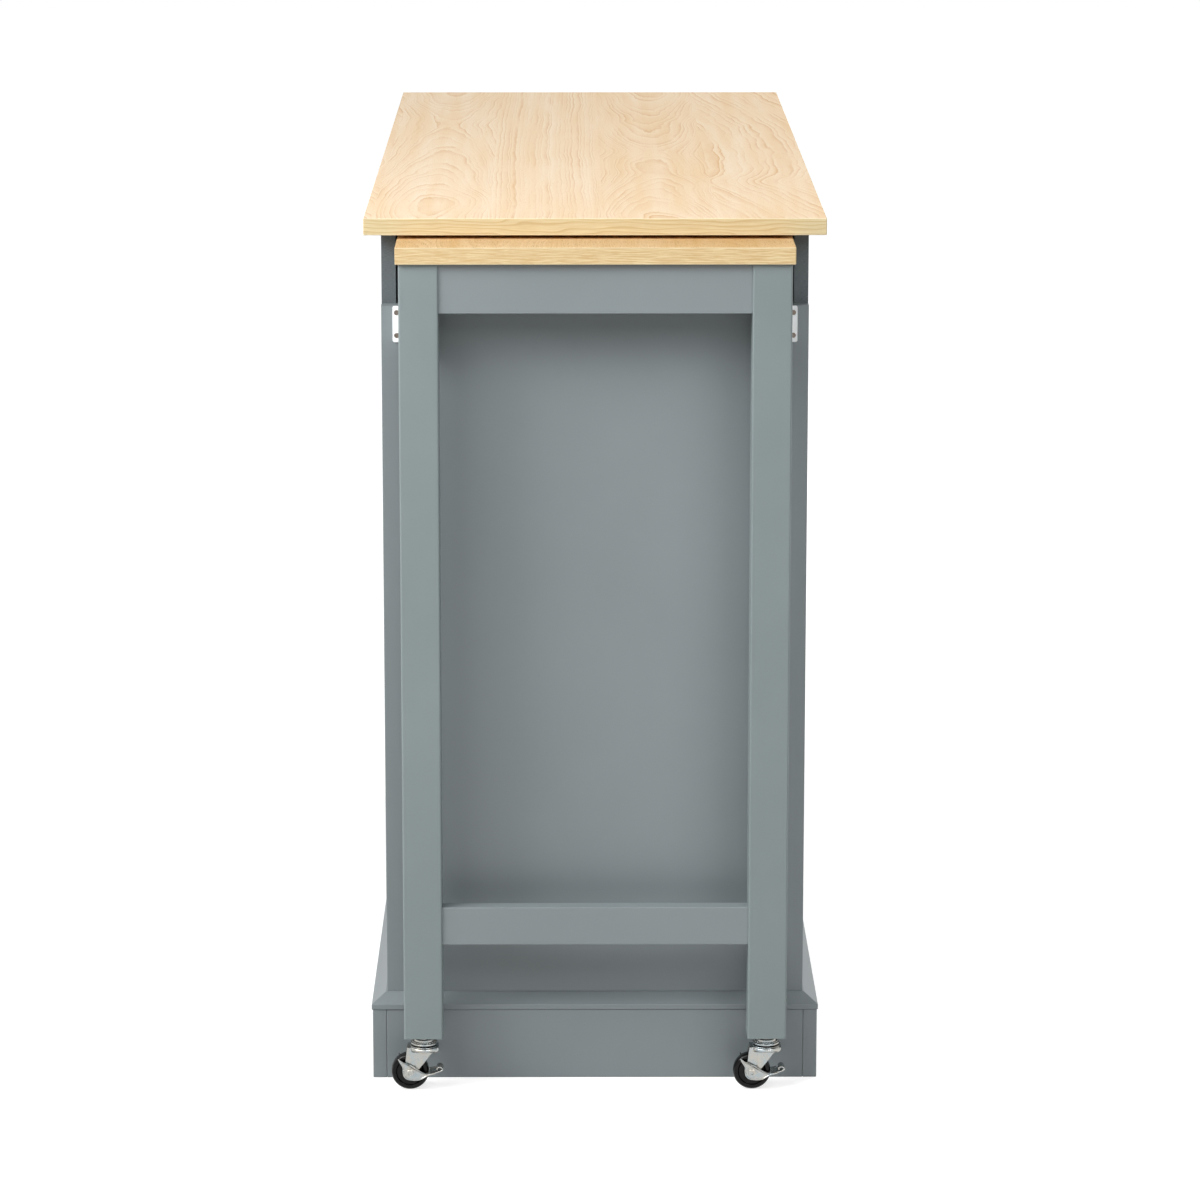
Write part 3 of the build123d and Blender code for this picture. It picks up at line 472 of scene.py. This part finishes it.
def eased(outline, steps=5):
    """An outline of (x, y, easing) corners with each corner turned into a short curve.

    The curve starts and ends the easing away from its corner, and is the quadratic curve that the
    corner pulls: (1-t) squared of the start, twice t(1-t) of the corner, t squared of the end.
    """
    rows = np.asarray(outline, float)
    corner, reach = rows[:, :2], rows[:, 2:]
    before = np.roll(corner, 1, axis=0) - corner
    after = np.roll(corner, -1, axis=0) - corner
    start = corner + reach * before / np.linalg.norm(before, axis=1, keepdims=True)
    end = corner + reach * after / np.linalg.norm(after, axis=1, keepdims=True)
    t = np.linspace(0, 1, steps)[None, :, None]
    curve = (1 - t) ** 2 * start[:, None] + 2 * t * (1 - t) * corner[:, None] + t ** 2 * end[:, None]
    return curve.reshape(-1, 2)


def smooth_line(points, count):
    """A smooth line through points, with count places evenly spaced by the points' distances.

    Between two points it is the cubic that has at each of them the slope of the parabola through
    that point and its neighbours, and at an end the slope of the last stretch.
    """
    points = np.asarray(points, float)
    gaps = np.linalg.norm(np.diff(points, axis=0), axis=1)
    knots = np.concatenate([[0], np.cumsum(gaps)])
    slopes = np.gradient(points, knots, axis=0)
    at = np.linspace(0, knots[-1], count)
    left = np.clip(np.searchsorted(knots, at, side="right") - 1, 0, len(knots) - 2)
    span = (knots[left + 1] - knots[left])[:, None]
    t = ((at - knots[left])[:, None]) / span
    return (
        (2 * t ** 3 - 3 * t ** 2 + 1) * points[left] + (t ** 3 - 2 * t ** 2 + t) * span * slopes[left]
        + (3 * t ** 2 - 2 * t ** 3) * points[left + 1] + (t ** 3 - t ** 2) * span * slopes[left + 1]
    )


def turned(profile, steps=128):
    """A profile of (radius, height) turned once about the height's axis, which is Z."""
    profile = np.asarray(profile, float)
    turn = np.arange(steps) * (2 * math.pi / steps)
    radius, height = profile[:, :1], profile[:, 1:]
    points = np.stack([radius * np.cos(turn), radius * np.sin(turn), height + 0 * turn], axis=-1)
    return grid(points, wrap=True)


def ruled(first, second, across):
    """A strip between two lines: each straight row goes from a place on the first to the second's."""
    share = np.linspace(0, 1, across)[None, :, None]
    return first[:, None] * (1 - share) + second[:, None] * share


def smoothstep(value, start, over):
    """A smooth rise from 0 at the start to 1: three t squared less two t cubed, t the share of over."""
    t = np.clip((value - start) / over, 0, 1)
    return t * t * (3 - 2 * t)


def moved(surface, shift, axes=(0, 1, 2), signs=(1, 1, 1)):
    """A surface with its axes taken in another order and sign, and then shifted."""
    points, faces = surface
    return points[:, axes] * np.array(signs) + np.array(shift, float), faces


def build(name, surfaces, body, slot, stands_for, wall=0.0, edge=0.0, sharp=40):
    """Puts surfaces, in millimetres, into one mesh and gives it its body and its slot's material.

    Doubled points are merged, which closes seams and poles. A wall thickens an open sheet by half
    on each side, and an edge rounds its rim. Folds of more than sharp degrees stay sharp.
    """
    starts = np.cumsum([0] + [len(points) for points, _ in surfaces])
    points = np.concatenate([points for points, _ in surfaces]) * MM
    faces = np.concatenate([faces + start for (_, faces), start in zip(surfaces, starts)])
    mesh = bpy.data.meshes.new(name)
    mesh.from_pydata(points.tolist(), [], faces.tolist())
    work = bmesh.new()
    work.from_mesh(mesh)
    bmesh.ops.remove_doubles(work, verts=work.verts, dist=1e-6)
    bmesh.ops.recalc_face_normals(work, faces=work.faces)
    work.to_mesh(mesh)
    work.free()
    mesh.shade_smooth()
    mesh.set_sharp_from_angle(angle=math.radians(sharp))
    mesh.materials.append(finishes[slot])
    piece = bpy.data.objects.new(name, mesh)
    bpy.context.scene.collection.objects.link(piece)
    if wall:
        solid = piece.modifiers.new("wall", "SOLIDIFY")
        solid.thickness = wall * MM
        solid.offset = 0
    if edge:
        round_edge = piece.modifiers.new("edge", "BEVEL")
        round_edge.width = edge * MM
        round_edge.segments = 2
        round_edge.limit_method = "ANGLE"
        round_edge.angle_limit = math.radians(50)
        round_edge.harden_normals = True
    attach(piece, body)
    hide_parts(stands_for)


# Casters, in millimetres from the swivel's line at the floor, as in the CAD

SWIVEL_X = 634
SWIVEL_Y = 182
WHEEL_RADIUS = 20
# the wheel trails behind the swivel's line, and just clears the floor
AXLE_Y = -15
AXLE_Z = WHEEL_RADIUS + 0.3
AXLE = (0, AXLE_Y, AXLE_Z)
FORK_WALL = 1.6
FORK_EDGE = 0.35
PLATE_X = 9.1
FORK_RIM = 16.3
FORK_BEND = 1.5
CREASE_DEPTH = 0.5
RACE_BOTTOM = 50.5
LEG_FOOT = 61
STEM_TOP = 91
BALLS = 22
BALL_RING = 11.9
BALL_Z = 53.2
LEVER_WALL = 1.2
LEVER_EDGE = 0.3
CHEEK_X = 11.2
CHEEK_DISH = 0.45
CHEEK_LIP = 1.3
PEDAL_HALF = 11.6


def caster_wheel():
    """A wheel turned about its axle: crowned tread, round shoulders, a grooved side and a hub."""
    side = [
        (3.05, 7.4, 0.4), (8.0, 7.4, 0.6), (8.8, 5.6, 0.8), (13.9, 5.3, 0.8),
        (14.9, 6.9, 0.5), (17.6, 7.0, 1.6), (WHEEL_RADIUS, 4.4, 2.2),
    ]
    mirror = [(radius, -height, reach) for radius, height, reach in reversed(side)]
    outline = eased(side + mirror)
    profile = np.concatenate([outline, outline[:1]])
    return moved(turned(profile), AXLE, (2, 0, 1))


def fork_sheet():
    """The fork, one pressed sheet: up one leg, over the top under the crown, and down the other.

    A leg is a strip between its back and front edges, given as (Y, Z) lines. Its X is the plate's
    own, plus a flare near the top that reaches out to the round rim, less a small set-back of the part
    behind the pressed crease. The top rows turn a quarter circle inward and run to the middle.
    """
    rows, columns = 60, 48
    back = smooth_line([
        (-17.9, 46.2), (-18.5, 43), (-19.0, 38), (-20.0, 30), (-21.2, 21.5), (-20.6, 17),
        (-18.2, 14.5), (-15, 13.8),
    ], rows)
    front = smooth_line([
        (15.6, 46.2), (14.9, 44.6), (12.0, 43.3), (8.0, 41.6), (5.7, 39.0), (3.8, 36.2), (0.4, 31.6),
        (-3.8, 26.4), (-8.2, 20.6), (-9.6, 17), (-12, 14.6), (-15, 13.8),
    ], rows)
    places = ruled(back, front, columns)
    y, z = places[..., 0], places[..., 1]
    rim = np.sqrt(np.clip(FORK_RIM ** 2 - y ** 2, 0, None))
    flare = np.clip(rim - PLATE_X, 0, None) * smoothstep(z, start=42.6, over=3.2)
    behind = 1 - smoothstep(y, start=-10.4, over=2.4)
    crease = CREASE_DEPTH * behind * smoothstep(z, start=22, over=5)
    x = PLATE_X + flare - crease
    turn = np.linspace(0, math.pi / 2, 7)[1:, None]
    bend_x = x[0] - FORK_BEND * (1 - np.cos(turn))
    bend_z = z[0] + FORK_BEND * np.sin(turn)
    inward = np.linspace(1, 0, 8)[1:, None]
    top_x = bend_x[-1] * inward
    top_z = bend_z[-1] + 0 * inward
    x = np.concatenate([top_x[::-1], bend_x[::-1], x])
    z = np.concatenate([top_z[::-1], bend_z[::-1], z])
    y = np.concatenate([np.repeat(y[:1], len(x) - len(y), axis=0), y])
    right = np.stack([x, y, z], axis=-1)
    # the two halves share the middle row
    left = right[:0:-1] * (-1, 1, 1)
    return grid(np.concatenate([left, right]))


def fork_crown():
    """The lower race, a ring pressed up out of the fork's top, turned about Z with a rolled rim."""
    outline = eased([
        (4.05, 47.0, 0.2), (14.3, 47.0, 0.2), (14.9, 48.0, 0.4), (14.6, 49.0, 0.5), (12.9, 49.1, 0.4),
        (11.9, 48.5, 0.3), (4.05, 48.5, 0.3),
    ])
    return turned(np.concatenate([outline, outline[:1]]))


def axle_head(hand):
    """A riveted axle end: a domed washer with a raised ring and a dimple, turned about X."""
    profile = np.array([
        (0, 11.95), (6.0, 11.95), (5.9, 12.5), (5.3, 12.6), (4.4, 12.6), (4.2, 13.7), (3.4, 14.25),
        (2.2, 14.3), (1.5, 13.9), (1.2, 12.9), (0, 12.6),
    ])
    return moved(turned(profile * (1, hand), 64), AXLE, (2, 0, 1))


def axle_shaft():
    """The axle between its heads, a plain turned rod with a collar at each fork plate."""
    half = [(0, -12), (3, -12), (3, -8.1), (3.6, -8.0), (3.6, -7.5), (3, -7.45)]
    other = [(radius, -height) for radius, height in reversed(half)]
    return moved(turned(half + other, 48), AXLE, (2, 0, 1))


def swivel_race():
    """The upper race, its cap and the neck under the leg, turned about Z, with the stem above."""
    outline = eased([
        (5.6, 43.4, 0.8), (6.5, 45.8, 0.3), (4, 45.8, 0.2), (4, RACE_BOTTOM, 0.2),
        (14.3, RACE_BOTTOM, 0.9), (14.3, 52.7, 1.0), (12.9, 53.0, 0.3), (12.2, 52.4, 0.3),
        (11.2, 52.6, 0.3), (10.7, 56.4, 0.9), (9, 56.8, 0.4), (9, LEG_FOOT, 0.2), (4, LEG_FOOT, 0.2),
        (4, STEM_TOP, 0.9),
    ])
    return turned(np.concatenate([[(0, 43.4)], outline, [(0, STEM_TOP)]]))


def ball_ring():
    """The ring of balls in the race: a ring whose thickness swells and thins once for each ball."""
    steps = 16 * BALLS
    turn = np.arange(steps) * (2 * math.pi / steps)
    section = np.arange(10) * (2 * math.pi / 10)
    thick = 0.35 + 0.65 * np.abs(np.cos(BALLS / 2 * turn)) ** 0.6
    radius = BALL_RING + thick * np.cos(section)[:, None]
    height = BALL_Z + thick * np.sin(section)[:, None]
    points = np.stack([radius * np.cos(turn), radius * np.sin(turn), height], axis=-1)
    # the first row comes again last, which closes the section
    return grid(np.concatenate([points, points[:1]]), wrap=True)


def lever_cheek(hand):
    """One cheek of the brake lever: a crescent between two (Y, Z) edges that start at its ear.

    Its X dips away from the edges, so that the rim stands proud, rises again in a round boss about
    the axle, and turns outward in a narrow lip along the inner edge.
    """
    rows, columns = 90, 22
    outer = smooth_line([
        (-12.6, 15.4), (-10.8, 11.4), (-7.9, 6.6), (-7.7, 1.2), (-6.8, -3.4), (-3.4, -6.8), (1.2, -7.9),
        (7.4, -8.0), (11.8, -7.1), (15.2, -5.2), (18.9, -2.9), (23.3, -1.7), (27, -0.7),
    ], rows)
    inner = smooth_line([
        (-12.0, 15.9), (-9.6, 13.6), (-6.2, 11.8), (-2.6, 10.2), (1.6, 8.2), (5.4, 5.8), (9.4, 3.2),
        (13.4, 1.0), (17.4, -0.3), (21, -0.5), (24, -0.1), (27, 0.6),
    ], rows)
    places = ruled(inner, outer, columns)
    y, z = places[..., 0], places[..., 1]
    width = np.linalg.norm(outer - inner, axis=1)[:, None]
    share = np.linspace(0, 1, columns)[None, :]
    from_edge = np.minimum(share, 1 - share) * width
    dish = CHEEK_DISH * smoothstep(from_edge, start=0.5, over=1.2)
    boss = CHEEK_DISH * (1 - smoothstep(np.hypot(y, z), start=5.2, over=0.9))
    # the lip dies out where the cheek gets narrow
    lip = CHEEK_LIP * (1 - smoothstep(share * width, start=0, over=1.4))
    lip = lip * smoothstep(width, start=3.2, over=2.5)
    x = hand * (CHEEK_X - dish + boss + lip)
    return grid(np.stack([x, y + AXLE_Y, z + AXLE_Z], axis=-1))


def lever_pedal():
    """The foot pedal: a (Y, Z) profile that rises and rolls up and back, carried straight along X.

    Its width shrinks by a smooth rise of the share of the way from its root between the cheeks, and
    is narrowest from half way on.
    """
    rows, columns = 60, 24
    profile = smooth_line([
        (20.6, -1.2), (24, -0.9), (27.4, -0.3), (30.4, 0.3), (33.0, 1.2), (34.6, 2.6), (33.6, 4.3),
        (31.7, 5.2), (29.7, 4.7), (28.6, 3.2), (29.2, 1.9),
    ], rows)
    x = np.linspace(-PEDAL_HALF, PEDAL_HALF, columns)
    along = np.linspace(0, 1, rows)[:, None]
    narrow = 1 - 0.35 * smoothstep(along, start=0, over=0.5)
    points = np.stack([
        x * narrow, profile[:, :1] + AXLE_Y + 0 * x, profile[:, 1:] + AXLE_Z + 0 * x,
    ], axis=-1)
    return grid(points)


def build_caster(name, side):
    """One caster's pieces, each on the body that carries it, moved to the leg at that side."""
    place = (SWIVEL_X, side * SWIVEL_Y, 0)
    caster, wheel, brake = f"{name}_caster", f"{name}_wheel", f"{name}_brake"
    fork, lever = f"{name}_caster_fork", f"{name}_caster_brake"
    cheeks = [lever_cheek(-1), lever_cheek(1)]

    def piece(part, surfaces, body, stands_for, slot="zinc_steel", **finish):
        """One piece, named for the caster and the part."""
        at_leg = [moved(surface, place) for surface in surfaces]
        build(f"{name}_{part}", at_leg, body, slot, stands_for, **finish)

    piece("wheel_tread", [caster_wheel()], wheel, f"{name}_caster_wheel", "black_rubber", sharp=50)
    piece("fork_sheet", [fork_sheet()], caster, fork, wall=FORK_WALL, edge=FORK_EDGE)
    piece("fork_crown", [fork_crown()], caster, fork)
    piece("axle", [axle_head(-1), axle_head(1), axle_shaft()], caster, fork, sharp=35)
    piece("swivel_race", [swivel_race(), ball_ring()], "table", "caster_mounts")
    piece("brake_cheeks", cheeks, brake, lever, wall=LEVER_WALL, edge=LEVER_EDGE)
    piece("brake_pedal", [lever_pedal()], brake, lever, wall=LEVER_WALL, edge=LEVER_EDGE)


build_caster("front", -1)
build_caster("back", 1)


# Knobs

KNOB_FOOT = 7
KNOB_HEAD = 14
KNOB_REACH = 22


def knob_shape():
    """A mushroom knob turned about Z: foot, waisted neck, and a wide head with a slightly domed face."""
    outline = eased([
        (KNOB_FOOT, 0, 0.1), (KNOB_FOOT, 3, 0.7), (5.4, 4.2, 0.9), (5, 8, 2.0), (6.6, 11.4, 2.2),
        (KNOB_HEAD, 13.4, 1.4), (KNOB_HEAD, 21.0, 2.6), (6, KNOB_REACH, 3.0),
    ], 8)
    return turned(np.concatenate([[(0, 0)], outline, [(0, KNOB_REACH)]]))


for front in ("left_door", "right_door", "left_drawer", "right_drawer"):
    low, high = (np.array(corner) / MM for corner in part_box(f"{front}_knob"))
    middle = (low + high) / 2
    # the foot stands on the front, which is the high Y end of the knob's box
    spot = (middle[0], high[1], middle[2])
    knob = moved(knob_shape(), spot, (0, 2, 1), (1, -1, 1))
    build(f"{front}_turned_knob", [knob], front, "brushed_nickel", f"{front}_knob", sharp=30)


# Floor, backdrop and light, in metres and watts

FLOOR_HALF = 12.0
# how strongly the floor glows under the object, and between which distances that grows to full white
FLOOR_GLOW = 0.7
GLOW_NEAR = 0.7
GLOW_FAR = 3.0
WORLD_LIGHT = 0.08
# the lamps point at the middle of the table end
LAMP_AIM = (0.6, 0, 0.5)
LAMP_SIZE = 1.6
# each lamp's name, place and power, and whether it shows in what mirrors it
LAMPS = [
    ("key", (1.81, -2.60, 2.51), 105, True),
    ("near_fill", (2.95, -1.64, 2.51), 35, True),
    ("far_fill", (2.95, 1.64, 2.51), 40, True),
    ("high_fill", (2.64, -0.95, 3.18), 10, True),
    ("back_fill", (-2.2, 2.6, 2.3), 100, False),
]


def seen_rays(tree):
    """1 for rays that see a thing straight, mirrored or through glass, and 0 for those that light it."""
    rays = add(tree, "LightPath").node.outputs
    seen = add(tree, "Math", {0: rays["Is Camera Ray"], 1: rays["Is Glossy Ray"]}, operation="MAXIMUM")
    return add(tree, "Math", {0: seen, 1: rays["Is Transmission Ray"]}, operation="MAXIMUM")


def stage_floor():
    """A wide floor in matt pale paint. It also glows where it is seen, so it is white but keeps shadows.

    The glow grows with the distance from the object, where the lamps no longer reach.
    """
    corners = [(-FLOOR_HALF, -FLOOR_HALF, 0), (FLOOR_HALF, -FLOOR_HALF, 0)]
    corners += [(FLOOR_HALF, FLOOR_HALF, 0), (-FLOOR_HALF, FLOOR_HALF, 0)]
    mesh = bpy.data.meshes.new("floor")
    mesh.from_pydata(corners, [], [(0, 1, 2, 3)])
    floor = bpy.data.objects.new("floor", mesh)
    bpy.context.scene.collection.objects.link(floor)
    material, tree, shader = blank_material("matt_white_floor")
    shader.inputs["Base Color"].default_value = rgb("#BEBEBC")
    shader.inputs["Roughness"].default_value = 0.9
    shader.inputs["Specular IOR Level"].default_value = 0.0
    spot = add(tree, "TexCoord", out="Object")
    distance = add(tree, "VectorMath", {0: spot}, out="Value", operation="LENGTH")
    glow = add(tree, "MapRange", {0: distance, 1: GLOW_NEAR, 2: GLOW_FAR, 3: FLOOR_GLOW, 4: 1.0})
    glow = add(tree, "Math", {0: glow, 1: seen_rays(tree)}, operation="MULTIPLY")
    glow = add(tree, "Emission", {"Color": (1, 1, 1, 1), "Strength": glow})
    both = add(tree, "AddShader", {0: shader.outputs[0], 1: glow})
    output = next(node for node in tree.nodes if node.type == "OUTPUT_MATERIAL")
    tree.links.new(both, output.inputs["Surface"])
    mesh.materials.append(material)


def stage_world():
    """White where it is seen or mirrored, and a plain soft grey as a source of light."""
    world = bpy.data.worlds.new("studio")
    bpy.context.scene.world = world
    world.use_nodes = True
    tree = world.node_tree
    tree.nodes.clear()
    strength = add(tree, "MapRange", {0: seen_rays(tree), 1: 0.0, 2: 1.0, 3: WORLD_LIGHT, 4: 1.0})
    sky = add(tree, "Background", {"Color": (1, 1, 1, 1), "Strength": strength})
    add(tree, "OutputWorld", {"Surface": sky})


def softbox(name, place, power, mirrored):
    """A square area light. Where it isn't mirrored it lights surfaces but lays no glare on them."""
    lamp = bpy.data.lights.new(name, "AREA")
    lamp.shape = "SQUARE"
    lamp.size = LAMP_SIZE
    lamp.energy = power
    holder = bpy.data.objects.new(name, lamp)
    holder.location = place
    holder.visible_glossy = mirrored
    holder.rotation_euler = (Vector(LAMP_AIM) - Vector(place)).to_track_quat("-Z", "Y").to_euler()
    bpy.context.scene.collection.objects.link(holder)


stage_floor()
stage_world()
for lamp_row in LAMPS:
    softbox(*lamp_row)


# Camera, fitted to the photograph, in metres and radians

IMAGE_PX = 1200
FOCAL_PX = 4658.9
SHIFT_X_PX = 12.2
SHIFT_Y_PX = -60
SENSOR_MM = 36
CAMERA_PLACE = (5.3847, -0.0272, 1.5805)
CAMERA_PITCH = 0.2041
CAMERA_YAW = 0.0041


def photo_camera():
    """A long lens far off the table end, higher than the worktop and tilted down."""
    data = bpy.data.cameras.new("camera")
    data.sensor_width = SENSOR_MM
    data.lens = FOCAL_PX * SENSOR_MM / IMAGE_PX
    data.shift_x = SHIFT_X_PX / IMAGE_PX
    data.shift_y = SHIFT_Y_PX / IMAGE_PX
    data.clip_end = 100
    camera = bpy.data.objects.new("camera", data)
    camera.location = CAMERA_PLACE
    level = math.cos(CAMERA_PITCH)
    forward = Vector((
        -math.cos(CAMERA_YAW) * level, math.sin(CAMERA_YAW) * level, -math.sin(CAMERA_PITCH),
    ))
    camera.rotation_euler = forward.to_track_quat("-Z", "Y").to_euler()
    bpy.context.scene.collection.objects.link(camera)
    bpy.context.scene.camera = camera


photo_camera()
bpy.context.scene.view_settings.view_transform = "Standard"

bpy.context.view_layer.update()
